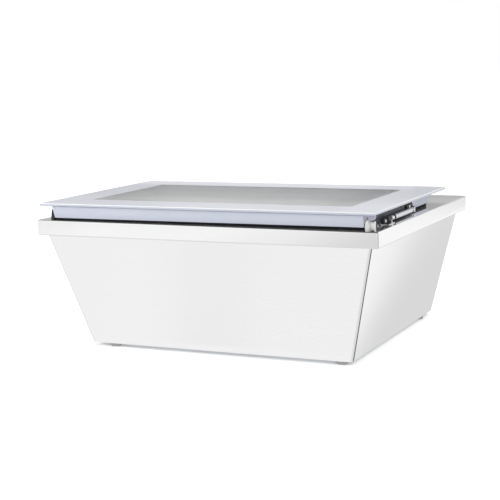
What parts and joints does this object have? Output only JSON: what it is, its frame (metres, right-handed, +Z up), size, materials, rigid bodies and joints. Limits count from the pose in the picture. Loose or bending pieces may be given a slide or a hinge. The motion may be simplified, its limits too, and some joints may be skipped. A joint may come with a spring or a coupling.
{
  "type": "ice cream display freezer",
  "caption": "Worktop ice cream display freezer: leaning steel casing, wide rim, front-hinged glass lid with a stay, cold tub under it and a cooling unit behind a vented rear panel.",
  "frame": {"origin": "on the floor, under the middle of the rim", "axes": "+X along the long side to the right as the customer sees it, +Y to the rear where the operator stands, +Z up"},
  "size_m": [0.8066, 0.672, 0.337],
  "materials": {
    "stainless_panel": "satin",
    "stainless_deck": "satin",
    "galvanised_steel": "satin",
    "clear_glass": "gloss",
    "frame_plastic": "satin",
    "white_plastic": "matte",
    "black_plastic": "matte",
    "black_rubber": "matte",
    "black_paint": "satin",
    "bright_steel": "polished",
    "copper": "satin",
    "aluminium": "satin",
    "foam": "matte"
  },
  "bodies": {
    "cabinet": {"front_panel": "stainless_panel", "left_panel": "stainless_panel", "right_panel": "stainless_panel", "rear_panel": "stainless_panel", "top_deck": "stainless_deck", "inner_tub": "stainless_deck", "base_pan": "galvanised_steel", "right_hinge_block": "white_plastic", "tub_collar": "white_plastic", "left_hinge_block": "black_plastic", "right_hinge_bracket": "black_plastic", "control_box": "black_plastic", "relay_box": "black_plastic", "switch_bezel": "black_plastic", "power_inlet": "black_plastic", "fan_frame": "black_plastic", "thermostat": "black_plastic", "corner_seals": "black_rubber", "compressor_mounts": "black_rubber", "compressor": "black_paint", "fan_motor": "black_paint", "stay_foot_bracket": "bright_steel", "stay_foot_pin": "bright_steel", "rear_panel_screws": "bright_steel", "front_left_foot": "bright_steel", "front_right_foot": "bright_steel", "rear_left_foot": "bright_steel", "rear_right_foot": "bright_steel", "evaporator_coil": "copper", "condenser_tube": "copper", "discharge_pipe": "copper", "suction_pipe": "copper", "liquid_pipe": "copper", "filter_drier": "copper", "condenser_fins": "aluminium", "foam_insulation": "foam"},
    "lid": {"lid_glass": "clear_glass", "lid_frame": "frame_plastic", "lid_inner_glass": "clear_glass", "lid_gasket": "black_rubber", "left_hinge_pin": "bright_steel", "right_hinge_pin": "bright_steel", "lid_rest_lug": "frame_plastic", "lid_side_plate": "black_paint", "side_plate_screws": "bright_steel"},
    "stay_lower": {"stay_rod": "bright_steel", "stay_boot": "black_plastic"},
    "stay_upper": {"stay_tube": "bright_steel", "stay_wiper": "black_rubber", "stay_end_clip": "black_plastic", "stay_stud": "bright_steel"},
    "fan": {"fan_rotor": "aluminium"},
    "knob": {"thermostat_knob": "black_plastic"},
    "rocker": {"rocker_switch": "black_plastic"}
  },
  "joints": [
    {"name": "lid_hinge", "type": "hinge", "parent": "cabinet", "child": "lid", "pos_m": [0, -0.316, 0.309], "axis": [1, 0, 0], "range_deg": [0, 58]},
    {"name": "stay_swing", "type": "hinge", "parent": "cabinet", "child": "stay_lower", "pos_m": [0.382, -0.237, 0.3085], "axis": [1, 0, 0], "range_deg": [0, 78]},
    {"name": "stay_stroke", "type": "slide", "parent": "stay_lower", "child": "stay_upper", "axis": [0, 1, 0], "range_m": [0, 0.054]},
    {"name": "fan_spin", "type": "hinge", "parent": "cabinet", "child": "fan", "pos_m": [0.16, 0.24, 0.126], "axis": [0, 1, 0], "continuous": true},
    {"name": "knob_turn", "type": "hinge", "parent": "cabinet", "child": "knob", "pos_m": [-0.02, 0.33, 0.242], "axis": [0, -1, 0], "range_deg": [0, 270]},
    {"name": "switch_rock", "type": "hinge", "parent": "cabinet", "child": "rocker", "pos_m": [0.038, 0.32, 0.242], "axis": [1, 0, 0], "range_deg": [-20, 0]}
  ],
  "couplings": [
    {"joint": "stay_swing", "follows": "lid_hinge", "ratio": 1.2806},
    {"joint": "stay_stroke", "follows": "lid_hinge", "m_per_rad": 0.048793}
  ]
}
